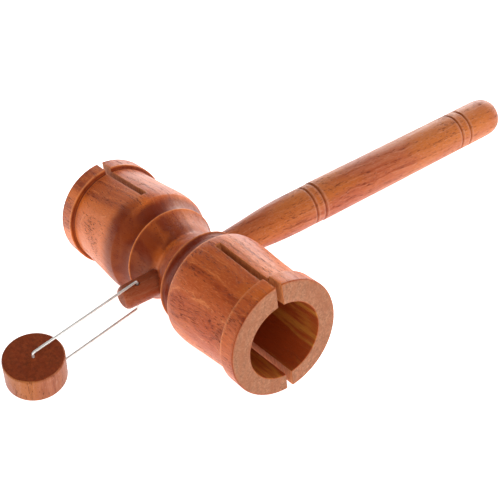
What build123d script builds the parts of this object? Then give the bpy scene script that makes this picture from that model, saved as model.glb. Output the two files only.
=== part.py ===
from build123d import *
import math
import os

# ---------------------------------------------------------------------------
# Double-ended hand wood block with a striker on a swinging wire loop.
#
# Frame: +Y runs along the handle towards its butt, +X along the head towards
# the barrel with the shallower bore, +Z is up, where the upper tone slots open.
# The origin is on the handle's axis, in the middle of the grip cylinder.
# Everything below is laid out from the crossing of the head's axis and the
# handle's axis, and moved by -GRIP_Y along Y at the end.
# All lengths are in millimetres.
# ---------------------------------------------------------------------------

# Head: two turned barrels joined by a slim waist, symmetric outside
HEAD_HALF = 71.75            # waist centre to mouth face
MOUTH_R = 26.50              # collar at the mouth
COLLAR_W = 8.60              # collar length
STEP_R = 24.85               # foot of the step behind the collar
BODY = [                     # (distance from the waist centre, radius)
    (24.70, 26.30), (31.40, 26.48), (39.30, 25.90), (49.10, 25.25), (57.00, 24.78),
]
SHOULDER = (23.55, 26.02)    # crisp edge where the barrel drops into the cove
COVE_MID = (19.95, 23.38)
COVE_LOW = (16.20, 21.90)
RIDGE_OUT = (14.30, 22.15)
RIDGE_TOP = (13.62, 23.04)   # thin bead
RIDGE_IN = (12.90, 22.30)
NECK = [(10.80, 20.93), (7.85, 19.52), (3.93, 18.10)]
WAIST_R = 16.70              # radius at the waist centre
COLLAR_ROUND = 0.60          # outer edge of the mouth
MOUTH_CHAMFER = 0.45         # inner edge of the mouth

# Bores: same diameter, two depths, so the barrels sound two tones
BORE_R = 17.50
BORE_Z = -1.15               # the bores are drilled a little below the head's axis
BORE_FLOOR_A = 26.0          # bore floor of the +X barrel, from the waist centre
BORE_FLOOR_B = 21.0          # bore floor of the -X barrel: deeper bore
BORE_FLOOR_FILLET = 2.0

# Tone slots: one saw cut through the top and bottom walls of each barrel
SLOT_W = 2.90
SLOT_END = 29.60             # inner end of the cut, from the waist centre

# Handle: one turned stick; its tapered tenon goes right through the waist
HANDLE = [                   # (distance from the head's axis, radius)
    (25.00, 7.22), (34.35, 8.06), (49.07, 9.38), (60.85, 9.78),
]
TENON_RUN = 20.5             # the tenon's taper runs on this far, past the waist's flanks
BEAD_R = 9.86
GROOVES = [69.97, 75.36, 169.68, 175.87]   # V grooves in pairs, before and after the grip
GROOVE_W = 1.70
GROOVE_DEPTH = 0.55
GRIP_R = 10.10               # grip cylinder between the two pairs of grooves
BUTT_END = 200.50
BUTT_ROUND = 5.00

TENON_R_IN = 6.90            # tenon radius where it enters the waist, y = +17
TENON_R_OUT = 5.90           # tenon radius where it leaves the waist, y = -17
TENON_TAPER_LEN = 34.0
STUB_R_END = 5.50            # stub radius at its end
STUB_END = -35.30
STUB_ROUND = 0.90
GLUE_GAP = 0.02              # glue line between the tenon and its hole

# Cross hole in the stub, with a countersink at each mouth
HOLE_Y = -27.00
HOLE_R = 0.70
CLOCK_DEG = 15.0             # the hole is clocked about the handle's axis
SINK_R = 1.45
SINK_DEPTH = 0.90

# Wire loop: spring-steel wire, threaded through the hole, its ends bent inwards
WIRE_D = 1.20
WIRE_TOP = 6.90              # upper leg, measured along the hole from the handle's axis
WIRE_LOW = -11.30            # lower leg
WIRE_BEND_R = 1.20           # centre-line radius at the four bends
WIRE_REACH = 57.0            # hole axis to striker axis
SWING_REST_DEG = 9.2         # rest position of the loop, towards +X
PIN_IN = 4.60                # how far each bent end reaches into the striker

# Striker: turned wooden disc, free to turn on the two wire ends
STRIKER_R = 13.05
STRIKER_T = 13.20
STRIKER_MID = (WIRE_TOP + WIRE_LOW) / 2
STRIKER_HOLE_R = 0.70
STRIKER_ROUND = 0.90

GRIP_Y = (GROOVES[1] + GROOVES[2]) / 2     # the origin, on the handle's axis

os.makedirs("parts", exist_ok=True)


def turned(points, axis):
    """Revolve a closed outline, drawn in the XY plane, about an axis."""
    face = make_face(points)
    return revolve(face, axis, 360)


# --------------------------------------------------------------------- head
def half_profile():
    """Outline of one half of the head above the X axis, from the waist centre out."""
    step_s = HEAD_HALF - COLLAR_W
    p_ridge_in = Vector(*RIDGE_IN)
    waist = Vector(0, WAIST_R)
    neck = Spline([waist] + [Vector(*p) for p in reversed(NECK)] + [p_ridge_in],
                  tangents=[Vector(1, 0), Vector(1, 1.1)])
    bead = ThreePointArc(p_ridge_in, Vector(*RIDGE_TOP), Vector(*RIDGE_OUT))
    cove = Spline([Vector(*RIDGE_OUT), Vector(*COVE_LOW), Vector(*COVE_MID), Vector(*SHOULDER)],
                  tangents=[Vector(1, -0.55), Vector(1, 1.05)])
    edge = Line(Vector(*SHOULDER), Vector(*BODY[0]))
    barrel = Spline([Vector(*p) for p in BODY] + [Vector(step_s - 1.30, 24.62)],
                    tangents=[Vector(1, 0.12), Vector(1, -0.02)])
    groove = ThreePointArc(Vector(step_s - 1.30, 24.62), Vector(step_s - 0.65, 24.30), Vector(step_s, 24.62))
    riser = Line(Vector(step_s, 24.62), Vector(step_s, MOUTH_R - 0.35))
    back = Line(Vector(step_s, MOUTH_R - 0.35), Vector(step_s + 0.35, MOUTH_R))
    top = Line(Vector(step_s + 0.35, MOUTH_R), Vector(HEAD_HALF - COLLAR_ROUND, MOUTH_R))
    c = HEAD_HALF - COLLAR_ROUND
    q = COLLAR_ROUND * math.sqrt(0.5)
    lip = ThreePointArc(Vector(c, MOUTH_R), Vector(c + q, MOUTH_R - COLLAR_ROUND + q),
                        Vector(HEAD_HALF, MOUTH_R - COLLAR_ROUND))
    face = Line(Vector(HEAD_HALF, MOUTH_R - COLLAR_ROUND), Vector(HEAD_HALF, 0))
    axis_line = Line(Vector(HEAD_HALF, 0), Vector(0, 0))
    centre = Line(Vector(0, 0), waist)
    return [neck, bead, cove, edge, barrel, groove, riser, back, top, lip, face, axis_line, centre]


half_a = turned(half_profile(), Axis.X)
half_b = half_a.rotate(Axis.Z, 180)
head = half_a + half_b


def bore(floor, sign):
    """Bore cutter on the +X side, turned to the -X side by sign."""
    r, f = BORE_R, BORE_FLOOR_FILLET
    q = f * (1 - math.sqrt(0.5))
    outline = [
        Line((floor, 0), (floor, r - f)),
        ThreePointArc((floor, r - f), (floor + q, r - q), (floor + f, r)),
        Line((floor + f, r), (HEAD_HALF - MOUTH_CHAMFER, r)),
        Line((HEAD_HALF - MOUTH_CHAMFER, r), (HEAD_HALF + 1.0, r + MOUTH_CHAMFER + 1.0)),
        Line((HEAD_HALF + 1.0, r + MOUTH_CHAMFER + 1.0), (HEAD_HALF + 1.0, 0)),
        Line((HEAD_HALF + 1.0, 0), (floor, 0)),
    ]
    cut = turned(outline, Axis.X)
    if sign < 0:
        cut = cut.rotate(Axis.Z, 180)
    return cut.move(Location((0, 0, BORE_Z)))


head -= bore(BORE_FLOOR_A, 1)
head -= bore(BORE_FLOOR_B, -1)

slot_len = HEAD_HALF - SLOT_END + 1.0
for sign in (1, -1):
    head -= Pos(sign * (SLOT_END + slot_len / 2), 0, 0) * Box(slot_len, SLOT_W, 2 * MOUTH_R + 4)

# tapered hole through the waist for the handle's tenon, straight beyond both ends
taper = (TENON_R_IN - TENON_R_OUT) / TENON_TAPER_LEN


def tenon_r(y):
    return TENON_R_OUT + taper * (y + TENON_TAPER_LEN / 2)


g = GLUE_GAP
waist_hole = turned([
    Line((0, -26.0), (tenon_r(-26.0) + g, -26.0)),
    Line((tenon_r(-26.0) + g, -26.0), (tenon_r(26.0) + g, 26.0)),
    Line((tenon_r(26.0) + g, 26.0), (0, 26.0)),
    Line((0, 26.0), (0, -26.0)),
], Axis.Y)
head -= waist_hole

# ------------------------------------------------------------------- handle
GW, GD = GROOVE_W / 2, GROOVE_DEPTH


def groove(y, r0, r1):
    """Points of one V groove, r0 before it and r1 after it."""
    rm = (r0 + r1) / 2 - GD
    return [(r0, y - GW), (rm + 0.12, y - 0.22), (rm, y), (rm + 0.12, y + 0.22), (r1, y + GW)]


gA = groove(GROOVES[0], 9.84, BEAD_R)
gB = groove(GROOVES[1], BEAD_R, GRIP_R)
gC = groove(GROOVES[2], GRIP_R, GRIP_R - 0.02)
gD = groove(GROOVES[3], GRIP_R - 0.02, GRIP_R)

stub = [(0, STUB_END), (STUB_R_END - STUB_ROUND, STUB_END)]
q = STUB_ROUND * (1 - math.sqrt(0.5))
outline = [Line(stub[0], stub[1])]
outline.append(ThreePointArc(stub[1], (STUB_R_END - q, STUB_END + q), (STUB_R_END, STUB_END + STUB_ROUND)))
outline.append(Line((STUB_R_END, STUB_END + STUB_ROUND), (tenon_r(-17.0), -17.0)))
outline.append(Line((tenon_r(-17.0), -17.0), (tenon_r(TENON_RUN), TENON_RUN)))
# the flare of the neck, from the end of the taper to the first groove
neck_pts = [Vector(tenon_r(TENON_RUN), TENON_RUN)] + [Vector(r, y) for y, r in HANDLE] + [Vector(*gA[0])]
outline.append(Spline(neck_pts, tangents=[Vector(taper, 1), Vector(0.004, 1)]))


def chain(points):
    return [Line(points[i], points[i + 1]) for i in range(len(points) - 1)]


outline += chain(gA + gB)
outline += chain([gB[-1], gC[0]])
outline += chain(gC + gD)
b = BUTT_END - BUTT_ROUND
outline.append(Line(gD[-1], (GRIP_R, b - 6.0)))
outline.append(Spline([Vector(GRIP_R, b - 6.0), Vector(GRIP_R - 0.45, b), Vector(GRIP_R - 2.3, b + 3.4),
                       Vector(GRIP_R - 5.2, b + 4.6), Vector(0, BUTT_END)],
                      tangents=[Vector(0, 1), Vector(-1, 0)]))
outline.append(Line((0, BUTT_END), (0, STUB_END)))
handle = turned(outline, Axis.Y)

# cross hole and its countersinks, clocked about the handle's axis
hole_dir = Vector(math.sin(math.radians(CLOCK_DEG)), 0, math.cos(math.radians(CLOCK_DEG)))
side_dir = Vector(math.cos(math.radians(CLOCK_DEG)), 0, -math.sin(math.radians(CLOCK_DEG)))
hole_plane = Plane(origin=(0, HOLE_Y, 0), x_dir=side_dir, z_dir=hole_dir)

stub_r_hole = STUB_R_END + (tenon_r(-17.0) - STUB_R_END) * (HOLE_Y - STUB_END - STUB_ROUND) / (-17.0 - STUB_END - STUB_ROUND)
handle -= hole_plane * Cylinder(HOLE_R, 4 * stub_r_hole)
cone_h = SINK_DEPTH + 1.0
cone_r = HOLE_R + (SINK_R - HOLE_R) * cone_h / SINK_DEPTH
for sign in (1, -1):
    cone = Cone(HOLE_R if sign > 0 else cone_r, cone_r if sign > 0 else HOLE_R, cone_h)
    handle -= hole_plane * Pos(0, 0, sign * (stub_r_hole - SINK_DEPTH + cone_h / 2)) * cone

# ---------------------------------------------------------------- wire loop
# In the loop's own plane: u runs from the hole to the striker, h along the hole.
rest = math.radians(SWING_REST_DEG)
u_dir = Vector(0, -math.cos(rest), 0) + side_dir * math.sin(rest)
hole_pt = Vector(0, HOLE_Y, 0)


def loop_pt(u, h):
    return hole_pt + u_dir * u + hole_dir * h


face_top = STRIKER_MID + STRIKER_T / 2
face_low = STRIKER_MID - STRIKER_T / 2
route = [
    loop_pt(WIRE_REACH, face_top - PIN_IN),
    loop_pt(WIRE_REACH, WIRE_TOP),
    loop_pt(0, WIRE_TOP),
    loop_pt(0, WIRE_LOW),
    loop_pt(WIRE_REACH, WIRE_LOW),
    loop_pt(WIRE_REACH, face_low + PIN_IN),
]
path = FilletPolyline(*route, radius=WIRE_BEND_R)
start = Plane(origin=route[0], z_dir=hole_dir)
wire_loop = sweep(start * Circle(WIRE_D / 2), path=path)

# ------------------------------------------------------------------ striker
e = STRIKER_ROUND
qe = e * (1 - math.sqrt(0.5))
R, T = STRIKER_R, STRIKER_T / 2
striker = turned([
    Line((STRIKER_HOLE_R, -T), (R - e, -T)),
    ThreePointArc((R - e, -T), (R - qe, -T + qe), (R, -T + e)),
    Line((R, -T + e), (R, T - e)),
    ThreePointArc((R, T - e), (R - qe, T - qe), (R - e, T)),
    Line((R - e, T), (STRIKER_HOLE_R, T)),
    Line((STRIKER_HOLE_R, T), (STRIKER_HOLE_R, -T)),
], Axis.Y)
striker = striker.rotate(Axis.X, 90)
striker_plane = Plane(origin=loop_pt(WIRE_REACH, STRIKER_MID), x_dir=u_dir, z_dir=hole_dir)
striker = striker_plane * striker

# ------------------------------------------------------------------- output
shift = Location((0, -GRIP_Y, 0))
pieces = {"head": head, "handle": handle, "wire_loop": wire_loop, "striker": striker}
for name, shape in pieces.items():
    moved = shape.moved(shift)
    solids = moved.solids()
    node = solids[0] if len(solids) == 1 else Compound(children=list(solids))
    node.label = name
    export_step(node, f"parts/{name}.step")
    box = moved.bounding_box()
    print(name, "solids", len(solids), "volume", round(moved.volume, 1),
          "min", [round(v, 2) for v in tuple(box.min)], "max", [round(v, 2) for v in tuple(box.max)])

wire_len = path.length
print("wire length", round(wire_len, 2), "volume by section times length",
      round(wire_len * math.pi * WIRE_D ** 2 / 4, 2), "volume", round(wire_loop.volume, 2))
print("origin at", round(GRIP_Y, 3), "from the head's axis; grip length", round(GROOVES[2] - GROOVES[1] - GROOVE_W, 2))
print("stub radius at the hole", round(stub_r_hole, 3))
print("swing hinge at", [round(v, 3) for v in tuple(hole_pt - Vector(0, GRIP_Y, 0))],
      "axis", [round(v, 6) for v in tuple(hole_dir)])
print("striker axis through", [round(v, 3) for v in tuple(loop_pt(WIRE_REACH, STRIKER_MID) - Vector(0, GRIP_Y, 0))])
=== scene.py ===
import math

import bmesh
import bpy
import numpy as np
from mathutils import Matrix, Vector, noise


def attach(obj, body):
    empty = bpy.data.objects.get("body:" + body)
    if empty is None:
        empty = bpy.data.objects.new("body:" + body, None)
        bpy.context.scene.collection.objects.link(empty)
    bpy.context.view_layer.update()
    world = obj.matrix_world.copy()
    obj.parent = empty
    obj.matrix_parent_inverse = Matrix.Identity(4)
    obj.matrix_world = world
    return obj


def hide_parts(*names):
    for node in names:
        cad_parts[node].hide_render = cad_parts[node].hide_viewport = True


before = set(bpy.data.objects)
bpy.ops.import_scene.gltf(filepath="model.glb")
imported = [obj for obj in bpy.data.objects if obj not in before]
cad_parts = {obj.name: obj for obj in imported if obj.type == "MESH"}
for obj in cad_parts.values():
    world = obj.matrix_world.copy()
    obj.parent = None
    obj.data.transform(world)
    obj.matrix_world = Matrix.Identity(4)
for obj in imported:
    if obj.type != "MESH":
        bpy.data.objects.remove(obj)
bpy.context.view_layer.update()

MM = 0.001

# ------------------------------------------------------------------ camera
# The camera comes first.
cam_data = bpy.data.cameras.new("camera")
cam_data.sensor_width = 36.0
cam_data.lens = 71.458
cam_data.clip_start = 0.01
cam = bpy.data.objects.new("camera", cam_data)
bpy.context.scene.collection.objects.link(cam)
right = Vector((0.59639098, 0.79537462, -0.1081527))
down = Vector((0.39714234, -0.40947124, -0.82134723))
fwd = Vector((-0.69756416, 0.44689206, -0.56008189))
place = Vector((330.27, -176.77, 256.85)) + Vector((0.0, -122.52, 0.0))
cam.matrix_world = Matrix((
    (right.x, -down.x, -fwd.x, place.x * MM),
    (right.y, -down.y, -fwd.y, place.y * MM),
    (right.z, -down.z, -fwd.z, place.z * MM),
    (0, 0, 0, 1),
))
bpy.context.scene.camera = cam

# --------------------------------------------------------------- dimensions
# The crossing of the head's axis and the handle's axis, in the row frame.
HEAD_Y = -122.52
HEAD_HALF, MOUTH_R, COLLAR_W = 71.75, 26.50, 8.60
BORE_R, BORE_Z = 17.50, -1.15
FLOOR_A, FLOOR_B, FLOOR_FILLET = 26.0, 21.0, 2.0
SLOT_W, SLOT_END = 2.90, 29.60
HOLE_Y, HOLE_R = -27.0, 0.70
CLOCK = math.radians(15.0)
WIRE_D, WIRE_TOP, WIRE_LOW, WIRE_BEND, WIRE_REACH, PIN_IN = 1.20, 6.90, -11.30, 1.20, 57.0, 4.60
SWING = math.radians(9.2)
STRIKER_R, STRIKER_T = 13.05, 13.20
STRIKER_MID = (WIRE_TOP + WIRE_LOW) / 2

hole_dir = np.array([math.sin(CLOCK), 0.0, math.cos(CLOCK)])
side_dir = np.array([math.cos(CLOCK), 0.0, -math.sin(CLOCK)])
hole_pt = np.array([0.0, HOLE_Y, 0.0])
u_dir = np.array([0.0, -math.cos(SWING), 0.0]) + side_dir * math.sin(SWING)
v_dir = np.cross(hole_dir, u_dir)


def tenon_r(y):
    return 5.90 + (6.90 - 5.90) / 34.0 * (y + 17.0)


# ------------------------------------------------------------- curve helpers
def cubic(xs, ys, d0, d1, at):
    """Clamped cubic spline through the points, read at the given places."""
    xs, ys, at = np.array(xs, float), np.array(ys, float), np.array(at, float)
    n = len(xs)
    h = np.diff(xs)
    m = np.zeros((n, n))
    rhs = np.zeros(n)
    m[0, 0] = m[-1, -1] = 1.0
    rhs[0], rhs[-1] = d0, d1
    for i in range(1, n - 1):
        m[i, i - 1] = h[i]
        m[i, i] = 2 * (h[i - 1] + h[i])
        m[i, i + 1] = h[i - 1]
        rhs[i] = 3 * (h[i] * (ys[i] - ys[i - 1]) / h[i - 1] + h[i - 1] * (ys[i + 1] - ys[i]) / h[i])
    d = np.linalg.solve(m, rhs)
    k = np.clip(np.searchsorted(xs, at) - 1, 0, n - 2)
    t = (at - xs[k]) / h[k]
    return ((2 * t ** 3 - 3 * t ** 2 + 1) * ys[k] + (t ** 3 - 2 * t ** 2 + t) * h[k] * d[k]
            + (-2 * t ** 3 + 3 * t ** 2) * ys[k + 1] + (t ** 3 - t ** 2) * h[k] * d[k + 1])


def rounded(points, steps=5):
    """Polyline with each corner that has a radius turned into an arc. A point is (x, y, radius)."""
    out = []
    n = len(points)
    for i, p in enumerate(points):
        r = p[2] if len(p) > 2 else 0.0
        here = np.array(p[:2], float)
        if r <= 0 or i in (0, n - 1):
            out.append(here)
            continue
        a = np.array(points[i - 1][:2], float) - here
        b = np.array(points[i + 1][:2], float) - here
        la, lb = np.linalg.norm(a), np.linalg.norm(b)
        a, b = a / la, b / lb
        half = math.acos(np.clip(np.dot(a, b), -1, 1)) / 2
        reach = min(r / math.tan(half), 0.48 * la, 0.48 * lb)
        r = reach * math.tan(half)
        centre = here + (a + b) / np.linalg.norm(a + b) * (r / math.sin(half))
        p0, p1 = here + a * reach - centre, here + b * reach - centre
        turn = math.acos(np.clip(np.dot(p0, p1) / (r * r), -1, 1))
        for t in np.linspace(0, 1, steps + 1):
            w0 = math.sin((1 - t) * turn) / math.sin(turn)
            w1 = math.sin(t * turn) / math.sin(turn)
            out.append(centre + p0 * w0 + p1 * w1)
    return np.array(out)


def densify(pts, longest):
    """Adds points so that no run is longer than that."""
    out = [pts[0]]
    for a, b in zip(pts[:-1], pts[1:]):
        n = max(1, int(math.ceil(np.linalg.norm(b - a) / longest)))
        for i in range(1, n + 1):
            out.append(a + (b - a) * i / n)
    return np.array(out)


def new_object(name, verts, faces, body, node, slot):
    mesh = bpy.data.meshes.new(name)
    mesh.from_pydata([tuple(v) for v in verts], [], faces)
    mesh.validate()
    obj = bpy.data.objects.new(name, mesh)
    bpy.context.scene.collection.objects.link(obj)
    return obj


def clean(obj, merge=1e-7):
    bm = bmesh.new()
    bm.from_mesh(obj.data)
    bmesh.ops.remove_doubles(bm, verts=bm.verts, dist=merge)
    loose = [v for v in bm.verts if not v.link_faces]
    bmesh.ops.delete(bm, geom=loose, context="VERTS")
    bmesh.ops.recalc_face_normals(bm, faces=bm.faces)
    bm.to_mesh(obj.data)
    bm.free()


def apply_modifiers(obj):
    depsgraph = bpy.context.evaluated_depsgraph_get()
    mesh = bpy.data.meshes.new_from_object(obj.evaluated_get(depsgraph), preserve_all_data_layers=True, depsgraph=depsgraph)
    old = obj.data
    obj.modifiers.clear()
    obj.data = mesh
    bpy.data.meshes.remove(old)


def boolean_cut(obj, *cutters):
    for cutter in cutters:
        mod = obj.modifiers.new("cut", "BOOLEAN")
        mod.operation = "DIFFERENCE"
        mod.solver = "EXACT"
        mod.object = cutter
    bpy.context.view_layer.update()
    apply_modifiers(obj)
    for cutter in cutters:
        bpy.data.objects.remove(cutter)


def smooth(obj, angle=38.0):
    """Smooth shading with sharp edges kept, and normals weighted by face area."""
    me = obj.data
    me.polygons.foreach_set("use_smooth", [True] * len(me.polygons))
    me.set_sharp_from_angle(angle=math.radians(angle))
    mod = obj.modifiers.new("weighted", "WEIGHTED_NORMAL")
    mod.keep_sharp = True
    mod.weight = 50
    bpy.context.view_layer.update()
    apply_modifiers(obj)


def point_attribute(obj, name, values):
    a = obj.data.attributes.new(name, "FLOAT", "POINT")
    a.data.foreach_set("value", np.clip(values, 0, 1).astype(np.float32))


def coords(obj):
    co = np.empty(len(obj.data.vertices) * 3)
    obj.data.vertices.foreach_get("co", co)
    return co.reshape(-1, 3)


def lathe(profile, columns, name):
    """Mesh turned from a profile of (along, radius) about the local Z axis, closed where the radius is nil."""
    verts, faces, rings = [], [], []
    for a, r in profile:
        if r < 1e-6:
            rings.append([len(verts)])
            verts.append((0.0, 0.0, a))
        else:
            rings.append(list(range(len(verts), len(verts) + columns)))
            for j in range(columns):
                t = 2 * math.pi * j / columns
                verts.append((r * math.cos(t), r * math.sin(t), a))
    for ra, rb in zip(rings[:-1], rings[1:]):
        for j in range(columns):
            k = (j + 1) % columns
            if len(ra) == 1 and len(rb) == 1:
                continue
            if len(ra) == 1:
                faces.append((ra[0], rb[k], rb[j]))
            elif len(rb) == 1:
                faces.append((ra[j], ra[k], rb[0]))
            else:
                faces.append((ra[j], ra[k], rb[k], rb[j]))
    return verts, faces


def wobble(co, scale, seed):
    """Slow, small unevenness from hand turning and sanding, between -1 and 1."""
    off = Vector((seed * 13.7, seed * 5.1, seed * 9.3))
    return np.array([noise.noise(Vector(p) * scale + off) for p in co])


# --------------------------------------------------------------------- head
STEP_S = HEAD_HALF - COLLAR_W


def head_outer():
    neck_s = np.linspace(0, 12.90, 15)
    neck = np.stack([neck_s, cubic([0, 3.93, 7.85, 10.80, 12.90], [16.70, 18.10, 19.52, 20.93, 22.30], 0.0, 0.95, neck_s)], 1)
    cove_s = np.linspace(14.30, 23.55, 13)
    cove = np.stack([cove_s, cubic([14.30, 16.20, 19.95, 23.55], [22.15, 21.90, 23.38, 26.02], -0.55, 1.00, cove_s)], 1)
    body_x = [24.70, 31.40, 39.30, 49.10, 57.00, STEP_S - 1.30]
    body_y = [26.30, 26.48, 25.90, 25.25, 24.78, 24.62]
    body_s = np.linspace(24.70, STEP_S - 1.30, 40)
    body = np.stack([body_s, cubic(body_x, body_y, 0.12, -0.02, body_s)], 1)
    pts = [(*p, 0) for p in neck[:-1]]
    pts += [(*neck[-1], 0.35), (13.60, 23.12, 0.26), (*cove[0], 0.30)]
    pts += [(*p, 0) for p in cove[1:-1] if p[0] < 22.9]
    pts += [(23.95, 26.16, 1.5)]
    pts += [(*p, 0) for p in body[1:-1] if p[0] > 25.3]
    pts += [(*body[-1], 0.35), (STEP_S - 0.55, 24.22, 0.25), (STEP_S - 0.02, 24.55, 0.12),
            (STEP_S + 0.02, MOUTH_R - 0.02, 0.42), (HEAD_HALF, MOUTH_R, 0.62)]
    pts += [(HEAD_HALF, MOUTH_R - 1.6, 0)]
    return rounded(pts)


def section(floor):
    """One barrel's outline as rows: place along the head, radius, height of the row's centre, and the
    unit direction into the wood."""
    outer = densify(head_outer(), 1.15)
    # rows that fall just at the inner end of the slot
    b = SLOT_FILLET
    marks = [SLOT_END - b * (1 - math.sin(a)) for a in np.radians([0, 30, 60, 90])]
    s_in, r_in = outer[:, 0], outer[:, 1]
    keep = (s_in < SLOT_END - 2.2 * b) | (s_in > SLOT_END + 0.5)
    lower = outer[keep & (s_in <= SLOT_END)]
    upper = outer[keep & (s_in > SLOT_END)]
    mono = (s_in > 25.0) & (s_in < 40.0)
    mid = np.array([[m, np.interp(m, s_in[mono], r_in[mono])] for m in marks])
    outer = np.concatenate([lower, mid, upper])
    n_face = 9
    rows = [(s, r, 0.0) for s, r in outer]
    r_out, r_bore = outer[-1][1], BORE_R + 0.45
    for t in np.linspace(0, 1, n_face)[1:]:
        rows.append((HEAD_HALF, r_out + (r_bore - r_out) * t, BORE_Z * t))
    # bore: chamfer, wall, floor
    rows.append((HEAD_HALF - 0.16, BORE_R + 0.14, BORE_Z))
    rows.append((HEAD_HALF - 0.50, BORE_R, BORE_Z))
    wall = list(np.arange(HEAD_HALF - 1.6, SLOT_END + 0.6, -1.3))
    wall.append(SLOT_END)
    inner_marks = [SLOT_END - b * (1 - math.sin(a)) for a in np.radians([60, 30, 0])]
    wall += inner_marks
    nxt = SLOT_END - b - 0.8
    last = floor + FLOOR_FILLET
    while nxt > last + 0.4:
        wall.append(nxt)
        nxt -= 1.2
    for s in wall:
        rows.append((s, BORE_R, BORE_Z))
    for a in np.radians(np.linspace(0, 90, 8)):
        rows.append((last - FLOOR_FILLET * math.sin(a), BORE_R - FLOOR_FILLET * (1 - math.cos(a)), BORE_Z))
    for r in (13.5, 11.0, 8.5, 6.0, 4.0, 2.2, 0.9):
        rows.append((floor, r, BORE_Z))
    rows = np.array(rows)
    # into-the-wood directions from the outline's tangent
    sr = rows[:, :2]
    tan = np.zeros_like(sr)
    tan[1:-1] = sr[2:] - sr[:-2]
    tan[0], tan[-1] = sr[1] - sr[0], sr[-1] - sr[-2]
    tan /= np.maximum(np.linalg.norm(tan, axis=1), 1e-9)[:, None]
    into = np.stack([tan[:, 1], -tan[:, 0]], 1)
    return rows, into


SLOT_FILLET = 0.24
N_SIDE = 76
N_SLOT = 4


def head_half(sign, floor):
    rows, into = section(floor)
    b, hw = SLOT_FILLET, SLOT_W / 2
    s_all, r_all, oz_all = rows[:, 0], rows[:, 1], rows[:, 2]
    n_outer = int(np.argmax(s_all >= HEAD_HALF - 1e-9))
    last_row = len(rows) - 1

    # columns, going round from the left edge of the top slot
    fil = [b * (1 - math.sin(a)) for a in np.radians([90, 60, 30, 0])]
    cols = []
    for y in np.linspace(-hw, hw, N_SLOT + 1):
        cols.append(("y", y, 1))
    for f in fil[1:]:
        cols.append(("y", hw + f, 1))
    for i in range(1, N_SIDE):
        cols.append(("a", i / N_SIDE, 1))
    for f in reversed(fil):
        cols.append(("y", hw + f, -1))
    for y in np.linspace(hw, -hw, N_SLOT + 1)[1:]:
        cols.append(("y", y, -1))
    for f in fil[1:]:
        cols.append(("y", -hw - f, -1))
    for i in range(1, N_SIDE):
        cols.append(("a", i / N_SIDE, -1))
    for f in list(reversed(fil))[:-1]:
        cols.append(("y", -hw - f, 1))
    nc = len(cols)

    pos = np.zeros((len(rows), nc, 3))
    for k in range(len(rows)):
        s, r, oz = s_all[k], r_all[k], oz_all[k]
        shrink = min(1.0, r / 6.0)
        for c, (kind, val, side) in enumerate(cols):
            if kind == "y":
                y = val * shrink
                ds = max(SLOT_END - s, 0.0)
                dy = max(abs(val) - hw, 0.0)
                d = math.hypot(ds, dy)
                inset = 0.0
                if d < b and r > 10:
                    inset = b - math.sqrt(max(b * b - (b - d) ** 2, 0.0))
                ss = s + into[k, 0] * inset
                rr = r + into[k, 1] * inset
                if ds > 0 or (k < n_outer and s <= SLOT_END + 1e-9) or (k > n_outer and abs(s - SLOT_END) < 1e-9):
                    ss = s
                z = oz + side * math.sqrt(max(rr * rr - y * y, 0.0))
                pos[k, c] = (ss, y, z)
            else:
                y0 = (hw + b) * shrink
                a0 = math.asin(min(y0 / r, 0.999))
                a = a0 + (math.pi - 2 * a0) * val
                if side < 0:
                    a += math.pi
                pos[k, c] = (s, r * math.sin(a), oz + r * math.cos(a))
    verts = [tuple(p) for p in pos.reshape(-1, 3)]
    idx = lambda k, c: k * nc + (c % nc)
    top_cols = set(range(0, N_SLOT))
    first_bottom = N_SLOT + 1 + 3 + (N_SIDE - 1) + 3
    bottom_cols = set(range(first_bottom, first_bottom + N_SLOT))
    slotted = top_cols | bottom_cols
    k_out = int(np.argmin(np.where(np.arange(len(rows)) < n_outer, np.abs(s_all - SLOT_END), 1e9)))
    k_in = int(np.argmin(np.where(np.arange(len(rows)) > n_outer, np.abs(s_all - SLOT_END), 1e9)))
    faces = []
    for k in range(last_row):
        for c in range(nc):
            if c in slotted and k_out <= k < k_in:
                continue
            faces.append((idx(k, c), idx(k, c + 1), idx(k + 1, c + 1), idx(k + 1, c)))
    centre = len(verts)
    verts.append((floor, 0.0, BORE_Z))
    for c in range(nc):
        faces.append((idx(last_row, c), idx(last_row, c + 1), centre))
    for c in sorted(slotted):
        faces.append((idx(k_out, c), idx(k_out, c + 1), idx(k_in, c + 1), idx(k_in, c)))
    for c in (0, N_SLOT, first_bottom, first_bottom + N_SLOT):
        faces.append(tuple(idx(k, c) for k in range(k_out, k_in + 1)))
    verts = np.array(verts)
    if sign < 0:
        verts[:, 0] *= -1
    return verts, faces


va, fa = head_half(1, FLOOR_A)
vb, fb = head_half(-1, FLOOR_B)
verts = np.concatenate([va, vb])
faces = fa + [tuple(i + len(va) for i in f) for f in fb]
# slight unevenness of the turned surface, dying out at the bores and on the joint with the handle
uneven = wobble(verts, 0.055, 1.0) * 0.7 + wobble(verts, 0.16, 2.0) * 0.3
rad = np.hypot(verts[:, 1], verts[:, 2])
push = 0.11 * uneven * np.clip((rad - 18.5) / 3, 0, 1)
verts[:, 1] *= 1 + push / np.maximum(rad, 1)
verts[:, 2] *= 1 + push / np.maximum(rad, 1)
verts = verts + np.array([0, HEAD_Y, 0])
head = new_object("head_turned", verts * MM, faces, "instrument", "head", "head_wood")
clean(head)

cone_rows = [(-26.0, 0.0), (-26.0, tenon_r(-26.0) + 0.02), (26.0, tenon_r(26.0) + 0.02), (26.0, 0.0)]
cv, cf = lathe(densify(np.array(cone_rows), 60), 120, "cutter")
cv = np.array([(x, z + HEAD_Y, -y) for x, y, z in cv])
cutter = new_object("cutter", cv * MM, cf, "", "", "")
clean(cutter)
boolean_cut(head, cutter)
clean(head, 1e-8)
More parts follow.
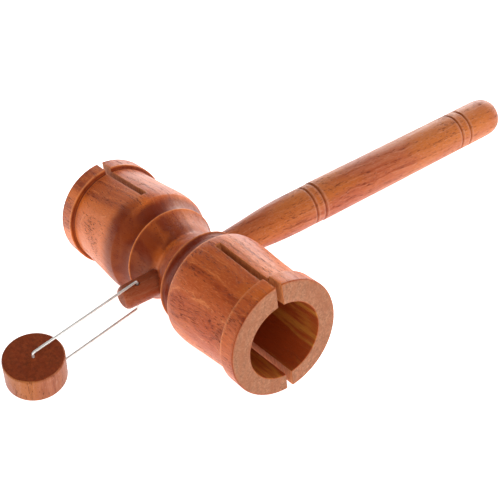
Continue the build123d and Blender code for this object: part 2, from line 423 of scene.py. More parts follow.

# attributes for the material: pale painted highlight lines along edges, painted shade in hollows and dark joint lines,
# which surface it is
co = coords(head) / MM - np.array([0, HEAD_Y, 0])
s = np.abs(co[:, 0])
rad = np.hypot(co[:, 1], co[:, 2])
rb = np.hypot(co[:, 1], co[:, 2] - BORE_Z)
bore = ((rb < BORE_R + 0.30) & (s > FLOOR_B - 0.5)).astype(float)
slotw = ((np.abs(co[:, 1]) < SLOT_W / 2 + 0.03) & (s > SLOT_END - 0.03) & (rb > BORE_R + 0.05) & (rad < MOUTH_R - 0.10)).astype(float)
face = ((s > HEAD_HALF - 0.05) & (rb > BORE_R + 0.2)).astype(float)
near = lambda s0, r0, w: np.exp(-((s - s0) ** 2 + (rad - r0) ** 2) / (2 * w * w))
far = (co[:, 0] < 0).astype(float)
# pale painted highlight lines on the ridge, the shoulder (faint on the -X barrel), the collar's rear edge, before the
# collar step, along the slot edges and at the bore lip
edge_highlight = np.maximum.reduce([near(13.60, 23.05, 0.36), (1 - 0.75 * far) * near(23.90, 26.08, 0.42),
                          0.9 * near(STEP_S + 0.22, MOUTH_R - 0.06, 0.30), 0.55 * near(STEP_S - 1.30, 24.62, 0.30)])
slot_d = np.abs(np.abs(co[:, 1]) - SLOT_W / 2 - 0.10)
edge_highlight = np.maximum(edge_highlight, 0.6 * np.exp(-(slot_d / 0.16) ** 2) * (s > SLOT_END) * (rad > 23.5))
bore_lip = np.exp(-((s - HEAD_HALF + 0.15) ** 2 + (rb - BORE_R - 0.25) ** 2) / (2 * 0.3 ** 2))
edge_highlight = np.maximum(edge_highlight, 0.2 * bore_lip)
edge_highlight = np.maximum(edge_highlight, 0.6 * np.exp(-(slot_d / 0.20) ** 2) * (s > SLOT_END) * (np.abs(rb - BORE_R) < 0.35))
# a painted dark line round the mouth's outer lip, standing for a dark reflection in the lacquer
lip = near(HEAD_HALF - 0.15, MOUTH_R - 0.15, 0.36)
# painted shade in the collar step, the coves, the neck and at the lip, darker on the -X half
painted_shade_and_joint = np.maximum.reduce([near(STEP_S - 0.45, 24.3, 0.50), 0.9 * near(STEP_S - 0.02, 25.2, 0.55), 0.75 * near(15.6, 21.9, 1.1),
                            0.62 * near(18.6, 22.8, 1.9), 0.5 * near(21.3, 24.3, 1.2), 0.5 * near(12.4, 21.8, 0.7), 0.62 * lip,
                            0.92 * np.clip((s - 13.7) / 0.5, 0, 1) * np.clip((23.5 - s) / 2.4, 0, 1), (0.22 + 0.30 * far) * (s <= 12.6)])
# painted shade, deeper round the waist end of the -X barrel, on the striker's side
lean = np.clip((-0.85 * co[:, 1] + 0.20 * co[:, 2]) / np.maximum(rad, 1), 0, 1)
shade_ramp = np.clip((35.0 - s) / 9.0, 0, 1)
lean_in = np.clip((lean - 0.28) / 0.32, 0, 1)
painted_shade_and_joint = np.maximum(painted_shade_and_joint, 0.95 * far * lean_in * shade_ramp * shade_ramp * (3 - 2 * shade_ramp) * (s > 13.7) * (1 - slotw))
painted_shade_and_joint = np.maximum(painted_shade_and_joint, (0.30 + 0.65 * far) * lean_in * (s < 13.2) * np.clip((s + 0.5) / 5.0, 0.3, 1))
# a dark joint line where the handle's tenon meets the head
joint = np.exp(-((np.hypot(co[:, 0], co[:, 2]) - tenon_r(co[:, 1])) / 0.45) ** 2) * (s < 9)
painted_shade_and_joint = np.maximum(painted_shade_and_joint, joint)
# blotchy painted shade round the waist, strongest on the striker's side of the -X barrel
blotch = wobble(co, 0.085, 7.0) * 0.7 + wobble(co, 0.21, 8.0) * 0.3
waist = np.clip((36.0 - s) / 6.0, 0, 1) * (1 - slotw) * (1 - bore)
painted_shade_and_joint = painted_shade_and_joint * (1 + 0.45 * waist * np.clip(blotch * 2.2, -0.22, 0.6)) + 0.30 * far * waist * np.clip(blotch * 3 - 0.2, 0, 1) * np.clip(lean * 2, 0, 1)
for name, values in (("bore", bore), ("slot", slotw), ("face", face), ("edge_highlight", edge_highlight), ("painted_shade_and_joint", painted_shade_and_joint)):
    point_attribute(head, name, values)
smooth(head)

# ------------------------------------------------------------------- handle
GROOVES = [69.97, 75.36, 169.68, 175.87]
GRIP_R = 10.10
neck_y = np.linspace(20.5, 69.97 - 0.85, 34)
neck_r = cubic([20.5, 25.0, 34.35, 49.07, 60.85, 69.12], [tenon_r(20.5), 7.22, 8.06, 9.38, 9.78, 9.84], 0.0294, 0.004, neck_y)
pts = [(-35.30, 0.0, 0), (-35.30, 0.1, 0), (-35.30, 5.50, 2.6), (-17.0, tenon_r(-17.0), 0), (17.0, tenon_r(17.0), 0)]
pts += [(y, r, 0) for y, r in zip(neck_y[:-1], neck_r[:-1])]


def vee(y, r0, r1, depth=0.55, half=0.85):
    rm = (r0 + r1) / 2 - depth
    return [(y - half, r0, 0.30), (y, rm, 0.22), (y + half, r1, 0.30)]


pts += vee(GROOVES[0], 9.84, 9.86)
pts += vee(GROOVES[1], 9.86, GRIP_R)
pts += vee(GROOVES[2], GRIP_R, GRIP_R - 0.02)
pts += vee(GROOVES[3], GRIP_R - 0.02, GRIP_R)
butt = np.array([(189.5, GRIP_R), (195.5, 9.65), (198.9, 7.80), (200.1, 4.90), (200.5, 0.0)])
run = np.concatenate([[0], np.cumsum(np.linalg.norm(np.diff(butt, axis=0), axis=1))])
at = np.linspace(0, run[-1], 22)
pts += [(y, r, 0) for y, r in zip(cubic(run, butt[:, 0], 1.0, 0.0, at), cubic(run, butt[:, 1], 0.0, -1.0, at))]
prof = densify(rounded(pts), 1.25)
prof[-1, 1] = 0.0
hv, hf = lathe(prof, 112, "handle")
hv = np.array([(x, z, -y) for x, y, z in hv])
rad = np.hypot(hv[:, 0], hv[:, 2])
uneven = wobble(hv, 0.05, 3.0) * 0.7 + wobble(hv, 0.15, 4.0) * 0.3
push = 0.09 * uneven * np.clip((hv[:, 1] - 24) / 6, 0, 1) * np.clip(rad / 6, 0, 1)
push += 0.05 * uneven * np.clip((-20 - hv[:, 1]) / 3, 0, 1) * np.clip(rad / 5, 0, 1)
hv[:, 0] *= 1 + push / np.maximum(rad, 1)
hv[:, 2] *= 1 + push / np.maximum(rad, 1)
handle = new_object("handle_turned", (hv + np.array([0, HEAD_Y, 0])) * MM, hf, "instrument", "handle", "handle_wood")
clean(handle)

stub_r = 5.67
sink = [(-9.0, 0.0), (-9.0, 4.2), (-(stub_r - 0.90), 0.82), (-(stub_r - 1.15), HOLE_R), (stub_r - 1.15, HOLE_R), (stub_r - 0.90, 0.82),
        (9.0, 4.2), (9.0, 0.0)]
cv, cf = lathe(np.array(sink), 56, "cutter")
cv = np.array([hole_pt + side_dir * x + np.cross(hole_dir, side_dir) * y + hole_dir * z for x, y, z in cv])
cutter = new_object("cutter", (cv + np.array([0, HEAD_Y, 0])) * MM, cf, "", "", "")
clean(cutter)
boolean_cut(handle, cutter)
clean(handle, 1e-8)

co = coords(handle) / MM - np.array([0, HEAD_Y, 0])
y, rad = co[:, 1], np.hypot(co[:, 0], co[:, 2])
painted_shade_and_joint = np.zeros(len(co))
edge_highlight = np.zeros(len(co))
# painted shade in the grooves, pale painted highlight lines on their shoulders
for g in GROOVES:
    painted_shade_and_joint = np.maximum(painted_shade_and_joint, 0.62 * np.exp(-((y - g) / 0.72) ** 2))
    edge_highlight = np.maximum(edge_highlight, 0.75 * np.exp(-((np.abs(y - g) - 1.05) / 0.36) ** 2))
# painted shade round the wire hole, darker where the handle meets the head, and darker over the whole stub
p = co - hole_pt
d_hole = np.linalg.norm(p - np.outer(p @ hole_dir, hole_dir), axis=1)
painted_shade_and_joint = np.maximum(painted_shade_and_joint, np.exp(-(np.maximum(d_hole - 1.1, 0) / 0.35) ** 2) * (np.abs(p @ hole_dir) < 7))
painted_shade_and_joint = np.maximum(painted_shade_and_joint, np.exp(-(np.maximum(np.abs(y) - 18.5, 0) / 0.8) ** 2) * (np.abs(y) < 22) * 0.7)
painted_shade_and_joint = np.maximum(painted_shade_and_joint, 0.50 * (y < -17))
endface = (y < -35.2).astype(float)
for name, values in (("bore", 0 * y), ("slot", 0 * y), ("face", endface), ("edge_highlight", edge_highlight), ("painted_shade_and_joint", painted_shade_and_joint)):
    point_attribute(handle, name, values)
smooth(handle)

# ------------------------------------------------------------------ striker
T = STRIKER_T / 2
pts = [(-T, HOLE_R, 0), (-T, HOLE_R + 0.25, 0), (-T, 6.0, 0), (-T, STRIKER_R, 0.9), (T, STRIKER_R, 0.9), (T, 6.0, 0), (T, HOLE_R + 0.25, 0), (T, HOLE_R, 0)]
prof = densify(rounded(pts, 7), 1.0)
prof = np.concatenate([prof, [[-T, HOLE_R]]])
sv, sf = lathe(densify(prof, 2.0), 128, "striker")
sv = np.array(sv)
uneven = wobble(sv, 0.11, 5.0)
rad = np.hypot(sv[:, 0], sv[:, 1])
grow = 1 + 0.07 * uneven * np.clip((rad - 3) / 3, 0, 1) / np.maximum(rad, 1)
sv[:, 0] *= grow
sv[:, 1] *= grow
sv[:, 2] += 0.05 * wobble(sv, 0.13, 6.0) * np.clip((rad - 1.5) / 2, 0, 1)
mid = hole_pt + u_dir * WIRE_REACH + hole_dir * STRIKER_MID + np.array([0, HEAD_Y, 0])
sv = np.array([mid + u_dir * x + v_dir * y + hole_dir * z for x, y, z in sv])
striker = new_object("striker_turned", sv * MM, sf, "striker", "striker", "striker_wood")
clean(striker)
co = coords(striker) / MM - mid
h = co @ hole_dir
rad = np.linalg.norm(co - np.outer(h, hole_dir), axis=1)
face = (np.abs(h) > T - 0.25).astype(float) * (rad < STRIKER_R - 0.5)
# pale painted highlight round the rim edges, painted shade at the hole's edge
edge_highlight = np.exp(-((np.abs(h) - T + 0.28) ** 2 + (rad - STRIKER_R + 0.28) ** 2) / (2 * 0.45 ** 2))
painted_shade_and_joint = np.exp(-(np.maximum(rad - 0.72, 0) / 0.16) ** 2)
for name, values in (("bore", 0 * h), ("slot", 0 * h), ("face", face), ("edge_highlight", 0.12 * edge_highlight), ("painted_shade_and_joint", painted_shade_and_joint)):
    point_attribute(striker, name, values)
smooth(striker)

# ---------------------------------------------------------------- wire loop
lp = lambda u, hh: hole_pt + u_dir * u + hole_dir * hh
face_top, face_low = STRIKER_MID + T, STRIKER_MID - T
corners = [lp(WIRE_REACH, face_top - PIN_IN), lp(WIRE_REACH, WIRE_TOP), lp(0, WIRE_TOP), lp(0, WIRE_LOW),
           lp(WIRE_REACH, WIRE_LOW), lp(WIRE_REACH, face_low + PIN_IN)]
line = [corners[0]]
for i in range(1, len(corners) - 1):
    a, here, c = corners[i - 1], corners[i], corners[i + 1]
    da, dc = (a - here) / np.linalg.norm(a - here), (c - here) / np.linalg.norm(c - here)
    centre = here + (da + dc) * WIRE_BEND
    for t in np.linspace(0, math.pi / 2, 13):
        line.append(centre - dc * WIRE_BEND * math.cos(t) - da * WIRE_BEND * math.sin(t))
line.append(corners[-1])
line = densify(np.array(line), 1.6)
keep = [0] + [i for i in range(1, len(line)) if np.linalg.norm(line[i] - line[i - 1]) > 1e-6]
line = line[keep]
tan = np.gradient(line, axis=0)
tan /= np.linalg.norm(tan, axis=1)[:, None]
SEG = 24
wr = WIRE_D / 2
wv, wf = [], []
stations = [(line[0] + tan[0] * b, tan[0], wr * a) for a, b in [(0.0, -0.02), (0.55, 0.0), (0.86, 0.10), (1.0, 0.32)]]
stations += [(line[i], tan[i], wr) for i in range(1, len(line) - 1)]
stations += [(line[-1] - tan[-1] * b, tan[-1], wr * a) for a, b in [(1.0, 0.32), (0.86, 0.10), (0.55, 0.0), (0.0, -0.02)]]
rings = []
for p, t, r in stations:
    e2 = v_dir
    e1 = np.cross(e2, t)
    e1 /= np.linalg.norm(e1)
    if r < 1e-6:
        rings.append([len(wv)])
        wv.append(p)
        continue
    rings.append(list(range(len(wv), len(wv) + SEG)))
    for j in range(SEG):
        a = 2 * math.pi * j / SEG
        wv.append(p + r * (math.cos(a) * e1 + math.sin(a) * e2))
for ra, rb in zip(rings[:-1], rings[1:]):
    for j in range(SEG):
        k = (j + 1) % SEG
        if len(ra) == 1:
            wf.append((ra[0], rb[k], rb[j]))
        elif len(rb) == 1:
            wf.append((ra[j], ra[k], rb[0]))
        else:
            wf.append((ra[j], ra[k], rb[k], rb[j]))
wire = new_object("wire_drawn", (np.array(wv) + np.array([0, HEAD_Y, 0])) * MM, wf, "wire", "wire_loop", "spring_wire")
clean(wire)
smooth(wire, 60)


# ---------------------------------------------------------------- materials
class Nodes:
    """Short calls for building a material's node tree."""

    def __init__(self, name):
        self.mat = bpy.data.materials.new(name)
        self.mat.use_nodes = True
        self.t = self.mat.node_tree
        self.t.nodes.clear()
        self.out = self.t.nodes.new("ShaderNodeOutputMaterial")
        self.bsdf = self.t.nodes.new("ShaderNodeBsdfPrincipled")
        self.t.links.new(self.bsdf.outputs[0], self.out.inputs[0])

    def put(self, socket, value):
        if isinstance(value, bpy.types.NodeSocket):
            self.t.links.new(value, socket)
        elif value is not None:
            socket.default_value = value

    def math(self, op, a, b=None, c=None, clamp=False):
        n = self.t.nodes.new("ShaderNodeMath")
        n.operation = op
        n.use_clamp = clamp
        self.put(n.inputs[0], a)
        self.put(n.inputs[1], b)
        self.put(n.inputs[2], c)
        return n.outputs[0]

    def vmath(self, op, a, b=None, scale=None):
        n = self.t.nodes.new("ShaderNodeVectorMath")
        n.operation = op
        self.put(n.inputs[0], a)
        self.put(n.inputs[1], b)
        if scale is not None:
            self.put(n.inputs[3], scale)
        return n.outputs["Value"] if op in ("DOT_PRODUCT", "LENGTH", "DISTANCE") else n.outputs["Vector"]

    def combine(self, x, y, z):
        n = self.t.nodes.new("ShaderNodeCombineXYZ")
        for i, v in enumerate((x, y, z)):
            self.put(n.inputs[i], v)
        return n.outputs[0]

    def noise(self, vec, scale, detail=2.0, rough=0.5, distortion=0.0, dims="3D", w=None):
        n = self.t.nodes.new("ShaderNodeTexNoise")
        n.noise_dimensions = dims
        if vec is not None:
            self.put(n.inputs["Vector"], vec)
        if w is not None:
            self.put(n.inputs["W"], w)
        n.inputs["Scale"].default_value = scale
        n.inputs["Detail"].default_value = detail
        n.inputs["Roughness"].default_value = rough
        n.inputs["Distortion"].default_value = distortion
        return n.outputs["Fac"]

    def remap(self, v, a, b, c=0.0, d=1.0, smooth=True):
        n = self.t.nodes.new("ShaderNodeMapRange")
        n.interpolation_type = "SMOOTHSTEP" if smooth else "LINEAR"
        n.clamp = True
        self.put(n.inputs[0], v)
        for i, x in enumerate((a, b, c, d)):
            n.inputs[i + 1].default_value = x
        return n.outputs[0]

    def mix(self, fac, a, b, mode="MIX"):
        n = self.t.nodes.new("ShaderNodeMix")
        n.data_type = "RGBA"
        n.blend_type = mode
        n.clamp_factor = True
        self.put(n.inputs[0], fac)
        for socket, v in ((n.inputs[6], a), (n.inputs[7], b)):
            if isinstance(v, tuple):
                v = (*v, 1.0) if len(v) == 3 else v
            self.put(socket, v)
        return n.outputs[2]

    def attribute(self, name):
        n = self.t.nodes.new("ShaderNodeAttribute")
        n.attribute_type = "GEOMETRY"
        n.attribute_name = name
        return n.outputs["Fac"]

    def bump(self, height, strength, distance, normal=None):
        n = self.t.nodes.new("ShaderNodeBump")
        n.inputs["Strength"].default_value = strength
        n.inputs["Distance"].default_value = distance
        self.put(n.inputs["Height"], height)
        if normal is not None:
            self.put(n.inputs["Normal"], normal)
        return n.outputs[0]


def wood(name, grain, across, pith, dark, mid, light, seed, streak=1.0, pores=1.0, end_tint=None, bore_tint=None, rough=0.35):
    """Clear-lacquered open-pored hardwood. grain is the direction of the fibres; pith is the centre of the
    growth rings, across the grain, in millimetres."""
    m = Nodes(name)
    tc = m.t.nodes.new("ShaderNodeTexCoord")
    p = m.vmath("SCALE", tc.outputs["Object"], scale=1000.0)
    p = m.vmath("ADD", p, (seed * 31.0, seed * 17.0, seed * 23.0))
    shift = Vector((seed * 31.0, seed * 17.0, seed * 23.0))
    g_dir, a_dir = Vector(grain).normalized(), Vector(across).normalized()
    b_dir = g_dir.cross(a_dir)
    g = m.vmath("DOT_PRODUCT", p, tuple(g_dir))
    a = m.vmath("DOT_PRODUCT", p, tuple(a_dir))
    b = m.vmath("DOT_PRODUCT", p, tuple(b_dir))
    pa, pb = pith[0] + shift.dot(a_dir), pith[1] + shift.dot(b_dir)

    # the fibres wander a little, so most layers below are bent by the same slow noise
    warp1 = m.math("SUBTRACT", m.noise(p, 0.030, 2.0, 0.5), 0.5)
    warp2 = m.math("SUBTRACT", m.noise(m.vmath("ADD", p, (91.0, 47.0, 13.0)), 0.045, 2.0, 0.5), 0.5)
    aw = m.math("ADD", a, m.math("MULTIPLY", warp1, 4.5))
    bw = m.math("ADD", b, m.math("MULTIPLY", warp2, 4.5))

    # growth rings about the pith, with uneven spacing
    da, db = m.math("SUBTRACT", aw, pa), m.math("SUBTRACT", bw, pb)
    ring_r = m.math("SQRT", m.math("ADD", m.math("MULTIPLY", da, da), m.math("MULTIPLY", db, db)))
    ring_r = m.math("ADD", ring_r, m.math("MULTIPLY", g, 0.045))
    ring = m.noise(None, 0.36, 2.0, 0.60, dims="1D", w=ring_r)
    ragged = m.noise(m.combine(m.math("MULTIPLY", g, 0.28), m.math("MULTIPLY", a, 0.55), m.math("MULTIPLY", b, 0.55)), 1.0, 3.0, 0.65)
    ring_at = m.math("ADD", m.math("MULTIPLY", ring_r, 0.215), m.math("MULTIPLY", m.math("SUBTRACT", ragged, 0.5), 0.24))
    year = m.math("FRACT", m.math("ADD", ring_at, 60.0))
    early = m.math("MULTIPLY", m.remap(year, 0.0, 0.06), m.math("SUBTRACT", 1.0, m.remap(year, 0.16, 0.46)))

    # long streaks and fibres
    broad = m.noise(m.combine(m.math("MULTIPLY", g, 0.008), m.math("MULTIPLY", aw, 0.085), m.math("MULTIPLY", bw, 0.085)), 1.0, 2.0, 0.5)
    sv = m.combine(m.math("MULTIPLY", g, 0.018), m.math("MULTIPLY", aw, 0.34), m.math("MULTIPLY", bw, 0.34))
    streaks = m.noise(sv, 1.0, 3.0, 0.55)
    fv = m.combine(m.math("MULTIPLY", g, 0.055), m.math("MULTIPLY", aw, 1.35), m.math("MULTIPLY", bw, 1.35))
    fibre = m.noise(fv, 1.0, 4.0, 0.60)
    middle = m.noise(m.combine(m.math("MULTIPLY", g, 0.045), m.math("MULTIPLY", aw, 0.72), m.math("MULTIPLY", bw, 0.72)), 1.0, 2.0, 0.55)
    ffv = m.combine(m.math("MULTIPLY", g, 0.30), m.math("MULTIPLY", a, 5.6), m.math("MULTIPLY", b, 5.6))
    fine = m.noise(ffv, 1.0, 3.0, 0.6)

    # open pores: dashes along the grain, gathered in the early wood and in patches
    pv = m.combine(m.math("MULTIPLY", g, 0.34), m.math("MULTIPLY", aw, 2.3), m.math("MULTIPLY", bw, 2.3))
    patch = m.noise(m.vmath("ADD", p, (7.0, 3.0, 5.0)), 0.055, 1.0, 0.5)
    gather = m.math("ADD", m.math("MULTIPLY", m.math("SUBTRACT", patch, 0.5), 0.26), m.math("MULTIPLY", early, 0.075))
    pore = m.remap(m.math("ADD", m.noise(pv, 1.0, 1.0, 0.4), gather), 0.675, 0.715)
    pv2 = m.combine(m.math("MULTIPLY", g, 0.85), m.math("MULTIPLY", a, 5.8), m.math("MULTIPLY", b, 5.8))
    pore2 = m.remap(m.math("ADD", m.noise(pv2, 1.0, 1.0, 0.4), m.math("MULTIPLY", gather, 0.8)), 0.655, 0.72)

    # crisp pale flecks, where the fibres are cut across
    flv = m.combine(m.math("MULTIPLY", g, 0.52), m.math("MULTIPLY", aw, 2.9), m.math("MULTIPLY", bw, 2.9))
    fleck = m.remap(m.math("SUBTRACT", m.noise(flv, 1.0, 2.0, 0.5), m.math("MULTIPLY", gather, 0.6)), 0.600, 0.645)

    # thin ragged pale lines at the ring borders
    line = m.math("SUBTRACT", 1.0, m.remap(m.math("ABSOLUTE", m.math("SUBTRACT", year, 0.93)), 0.0, 0.038))
    line_gate = m.remap(m.noise(m.vmath("ADD", p, (3.0, 33.0, 21.0)), 0.085, 3.0, 0.6), 0.42, 0.56)
    lines = m.math("MULTIPLY", line, line_gate)

    # colour
    tone = m.math("ADD", m.math("MULTIPLY", m.math("SUBTRACT", streaks, 0.5), 0.72 * streak),
                  m.math("MULTIPLY", m.math("SUBTRACT", broad, 0.5), 0.85 * streak))
    tone = m.math("ADD", tone, m.math("MULTIPLY", m.math("SUBTRACT", ring, 0.5), 0.45))
    tone = m.math("ADD", tone, m.math("MULTIPLY", m.math("SUBTRACT", fibre, 0.5), 1.05))
    tone = m.math("ADD", tone, m.math("MULTIPLY", m.math("SUBTRACT", middle, 0.5), 0.95))
    tone = m.math("ADD", tone, m.math("MULTIPLY", early, -0.20))
    tone = m.math("ADD", tone, 0.52)
    col = m.mix(m.remap(tone, 0.0, 0.5), dark, mid)
    col = m.mix(m.remap(tone, 0.5, 1.0), col, light)
    red = m.noise(m.vmath("ADD", p, (55.0, 5.0, 29.0)), 0.034, 1.0, 0.5)
    col = m.mix(m.remap(red, 0.44, 0.66, 0.0, 0.60), col, (mid[0] * 0.86, mid[1] * 0.62, mid[2] * 0.70))
    orange = m.noise(m.combine(m.math("MULTIPLY", g, 0.016), m.math("MULTIPLY", a, 0.052), m.math("MULTIPLY", b, 0.052)), 1.0, 1.0, 0.5)
    col = m.mix(m.remap(orange, 0.45, 0.60, 0.0, 0.80), col, (light[0] * 1.04, light[1] * 0.90, light[2] * 0.34))
    col = m.mix(m.math("MULTIPLY", m.remap(fine, 0.46, 0.72), 0.34), col, dark)
    col = m.mix(m.math("MULTIPLY", lines, 0.52), col, (light[0] * 1.20, light[1] * 1.55, light[2] * 1.9))
    col = m.mix(m.math("MULTIPLY", fleck, 0.42), col, (light[0] * 1.10, light[1] * 1.45, light[2] * 1.9))
    col = m.mix(m.math("MULTIPLY", pore2, 0.50 * pores), col, (dark[0] * 0.50, dark[1] * 0.40, dark[2] * 0.40))
    col = m.mix(m.math("MULTIPLY", pore, 0.78 * pores), col, (dark[0] * 0.42, dark[1] * 0.30, dark[2] * 0.30))

    edge_highlight, painted_shade_and_joint = m.attribute("edge_highlight"), m.attribute("painted_shade_and_joint")
    face, bore, slot = m.attribute("face"), m.attribute("bore"), m.attribute("slot")
    edge_n = m.math("MULTIPLY", edge_highlight, m.remap(m.noise(p, 0.55, 3.0, 0.6), 0.30, 0.55, 0.35, 1.0))
    # pale painted highlight along the edge lines
    col = m.mix(m.math("MULTIPLY", edge_n, 0.72), col, (light[0] * 1.25, light[1] * 1.75, light[2] * 2.4))
    # painted shade in hollows and grooves, and dark joint lines
    col = m.mix(m.math("MULTIPLY", painted_shade_and_joint, 0.92), col, (dark[0] * 0.46, dark[1] * 0.21, dark[2] * 0.14))
    if end_tint:
        grainy = m.noise(m.combine(m.math("MULTIPLY", g, 0.6), m.math("MULTIPLY", a, 3.2), m.math("MULTIPLY", b, 3.2)), 1.0, 4.0, 0.7)
        coarse = m.noise(m.combine(m.math("MULTIPLY", g, 0.3), m.math("MULTIPLY", a, 0.85), m.math("MULTIPLY", b, 0.85)), 1.0, 3.0, 0.65)
        spots = m.remap(m.math("ADD", m.math("MULTIPLY", grainy, 0.45), m.math("MULTIPLY", coarse, 0.55)), 0.34, 0.66)
        ends = m.mix(spots, tuple(c * 0.56 for c in end_tint), tuple(c * 1.32 for c in end_tint))
        cloud = m.remap(m.noise(m.vmath("ADD", p, (1.0, 2.0, 3.0)), 0.16, 3.0, 0.6), 0.36, 0.66)
        ends = m.mix(m.math("MULTIPLY", cloud, 0.45), ends, (end_tint[0] * 0.80, end_tint[1] * 0.58, end_tint[2] * 0.48))
        ends = m.mix(m.math("MULTIPLY", m.remap(ring, 0.45, 0.62), 0.35), ends, (end_tint[0] * 0.9, end_tint[1] * 0.68, end_tint[2] * 0.58))
        col = m.mix(m.math("MULTIPLY", face, m.math("SUBTRACT", 1.0, m.math("MULTIPLY", painted_shade_and_joint, 0.8))), col, ends)
    if bore_tint:
        # inside the bores: darker red-brown wood with gold bands along the grain, the gold bands partly painted
        # reflection streaks
        inside = m.mix(m.remap(m.math("ADD", m.math("MULTIPLY", streaks, 0.5), m.math("MULTIPLY", broad, 0.5)), 0.47, 0.62), bore_tint[0], bore_tint[1])
        inside = m.mix(m.math("MULTIPLY", m.remap(fine, 0.42, 0.7), 0.35), inside, tuple(c * 0.45 for c in bore_tint[0]))
        col = m.mix(bore, col, inside)
        kerf = m.mix(m.remap(m.noise(m.combine(m.math("MULTIPLY", g, 1.9), m.math("MULTIPLY", a, 0.4), m.math("MULTIPLY", b, 0.4)), 1.0, 3.0, 0.6), 0.35, 0.65),
                     (0.480, 0.160, 0.052), (0.660, 0.260, 0.100))
        col = m.mix(slot, col, kerf)

    m.put(m.bsdf.inputs["Base Color"], col)
    r = m.math("ADD", rough, m.math("MULTIPLY", m.math("SUBTRACT", m.noise(p, 0.12, 3.0, 0.6), 0.5), 0.16))
    r = m.math("ADD", r, m.math("MULTIPLY", pore, 0.25))
    r = m.math("ADD", r, m.math("MULTIPLY", m.math("SUBTRACT", fibre, 0.5), 0.12))
    matte = m.math("MAXIMUM", m.math("MAXIMUM", m.math("MULTIPLY", face, 1.0), m.math("MULTIPLY", bore, 0.35)), slot)
    r = m.math("ADD", r, m.math("MULTIPLY", matte, 0.26), clamp=True)
    m.put(m.bsdf.inputs["Roughness"], r)
    m.bsdf.inputs["IOR"].default_value = 1.46
    m.bsdf.inputs["Specular Tint"].default_value = (1.0, 0.66, 0.42, 1.0)

    # relief: fibres under the lacquer, sunken pores, raised ring-border lines and a slow unevenness along the grain
    height = m.math("ADD", m.math("MULTIPLY", fibre, 0.45), m.math("MULTIPLY", fine, 0.22))
    height = m.math("SUBTRACT", height, m.math("MULTIPLY", pore, 0.85))
    height = m.math("SUBTRACT", height, m.math("MULTIPLY", pore2, 0.35))
    height = m.math("ADD", height, m.math("MULTIPLY", lines, 0.22))
    n1 = m.bump(height, 0.80, 0.00016)
    slow = m.noise(m.combine(m.math("MULTIPLY", g, 0.09), m.math("MULTIPLY", aw, 0.26), m.math("MULTIPLY", bw, 0.26)), 1.0, 3.0, 0.55)
    n2 = m.bump(slow, 0.30, 0.0009, n1)
    m.put(m.bsdf.inputs["Normal"], n2)
    return m.mat


def drawn_steel(name):
    m = Nodes(name)
    tc = m.t.nodes.new("ShaderNodeTexCoord")
    p = m.vmath("SCALE", tc.outputs["Object"], scale=1000.0)
    u = m.vmath("DOT_PRODUCT", p, tuple(u_dir))
    hh = m.vmath("DOT_PRODUCT", p, tuple(hole_dir))
    v = m.vmath("DOT_PRODUCT", p, tuple(v_dir))
    scratch = m.noise(m.combine(m.math("MULTIPLY", u, 0.22), m.math("MULTIPLY", hh, 7.0), m.math("MULTIPLY", v, 7.0)), 1.0, 4.0, 0.6)
    tarnish = m.noise(p, 0.16, 3.0, 0.6)
    col = m.mix(m.remap(tarnish, 0.35, 0.70), (0.90, 0.88, 0.84), (0.80, 0.77, 0.72))
    col = m.mix(m.math("MULTIPLY", m.remap(scratch, 0.5, 0.75), 0.35), col, (0.62, 0.60, 0.57))
    m.put(m.bsdf.inputs["Base Color"], col)
    m.bsdf.inputs["Metallic"].default_value = 0.58
    r = m.math("ADD", 0.20, m.math("MULTIPLY", scratch, 0.16))
    m.put(m.bsdf.inputs["Roughness"], r)
    m.put(m.bsdf.inputs["Normal"], m.bump(scratch, 0.25, 0.00003))
    return m.mat


DARK, MID, LIGHT = (0.310, 0.042, 0.007), (0.520, 0.102, 0.023), (0.690, 0.170, 0.044)
END = (0.372, 0.156, 0.083)
head_mat = wood("head_wood_lacquered", (1, 0.02, 0.0), (0, 1, 0), (34.0, -58.0), DARK, MID, LIGHT, 1.0,
                end_tint=END, bore_tint=((0.350, 0.056, 0.011), (0.520, 0.190, 0.032)))
handle_mat = wood("handle_wood_lacquered", (0.03, 1, 0.0), (1, 0, 0), (26.0, 40.0), (0.300, 0.046, 0.009), (0.462, 0.114, 0.043),
                  (0.525, 0.166, 0.074), 2.3, streak=1.35, pores=0.85, end_tint=(0.22, 0.050, 0.016))
striker_mat = wood("striker_wood_lacquered", tuple(hole_dir), tuple(u_dir), (12.0, 20.0), (0.220, 0.044, 0.013), (0.318, 0.084, 0.036),
                   (0.395, 0.128, 0.060), 4.1, pores=0.8, end_tint=(0.225, 0.038, 0.009), rough=0.40)
for wood_mat, level in ((head_mat, 0.42), (handle_mat, 0.34), (striker_mat, 0.30)):
    wood_mat.node_tree.nodes["Principled BSDF"].inputs["Specular IOR Level"].default_value = level
steel_mat = drawn_steel("spring_wire_drawn")

for obj, mat, body, node, slot_name in (
    (head, head_mat, "instrument", "head", "head_wood"),
    (handle, handle_mat, "instrument", "handle", "handle_wood"),
    (striker, striker_mat, "striker", "striker", "striker_wood"),
    (wire, steel_mat, "wire", "wire_loop", "spring_wire"),
):
    obj.data.materials.clear()
    obj.data.materials.append(mat)
    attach(obj, body)
    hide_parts(node)

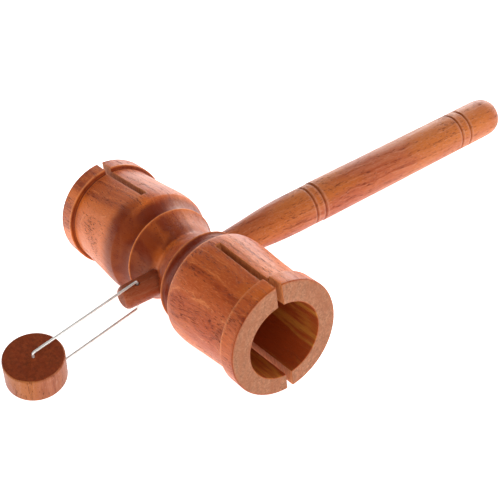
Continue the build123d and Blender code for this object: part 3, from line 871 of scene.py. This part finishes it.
# -------------------------------------------------------------------- stage
floor_z = -MOUTH_R - 0.12
fm = bpy.data.meshes.new("studio_floor")
half = 3000
fm.from_pydata([(-half * MM, (HEAD_Y - half) * MM, floor_z * MM), (half * MM, (HEAD_Y - half) * MM, floor_z * MM),
                (half * MM, (HEAD_Y + half) * MM, floor_z * MM), (-half * MM, (HEAD_Y + half) * MM, floor_z * MM)], [], [(0, 1, 2, 3)])
floor = bpy.data.objects.new("studio_floor", fm)
bpy.context.scene.collection.objects.link(floor)
fmat = bpy.data.materials.new("studio_floor")
fmat.use_nodes = True
fb = fmat.node_tree.nodes["Principled BSDF"]
fb.inputs["Base Color"].default_value = (0.93, 0.93, 0.93, 1)
fb.inputs["Roughness"].default_value = 0.75
fb.inputs["Specular IOR Level"].default_value = 0.2
fb.inputs["Emission Color"].default_value = (1.0, 1.0, 1.0, 1)
fb.inputs["Emission Strength"].default_value = 1.05
fm.materials.append(fmat)

world = bpy.data.worlds.new("studio")
bpy.context.scene.world = world
world.use_nodes = True
wt = world.node_tree
bg = wt.nodes["Background"]
bg.inputs["Color"].default_value = (1.0, 1.0, 1.0, 1)
w_co = wt.nodes.new("ShaderNodeTexCoord")
w_sep = wt.nodes.new("ShaderNodeSeparateXYZ")
w_map = wt.nodes.new("ShaderNodeMapRange")
w_map.interpolation_type = "SMOOTHSTEP"
w_map.inputs["From Min"].default_value = 0.06
w_map.inputs["From Max"].default_value = 0.42
w_map.inputs["To Min"].default_value = 2.1
w_map.inputs["To Max"].default_value = 0.15
wt.links.new(w_co.outputs["Generated"], w_sep.inputs[0])
wt.links.new(w_sep.outputs[2], w_map.inputs[0])
wt.links.new(w_map.outputs[0], bg.inputs["Strength"])


def softbox(name, at, size, power, towards=(0, HEAD_Y, 0)):
    light = bpy.data.lights.new(name, "AREA")
    light.shape = "RECTANGLE"
    light.size, light.size_y = size[0] * MM, size[1] * MM
    light.energy = power
    obj = bpy.data.objects.new(name, light)
    bpy.context.scene.collection.objects.link(obj)
    at, towards = Vector(at) * MM, Vector(towards) * MM
    obj.location = at
    obj.rotation_euler = (towards - at).to_track_quat("-Z", "Y").to_euler()
    return obj


softbox("softbox_back", (-350, 1500, 800), (2400, 900), 30.0)
softbox("softbox_side", (-880, 760, 270), (1300, 380), 3.2)
softbox("softbox_front", (560, -420, 860), (1500, 1500), 4.7)

bpy.context.scene.view_settings.view_transform = "Standard"
bpy.context.scene.view_settings.look = "None"
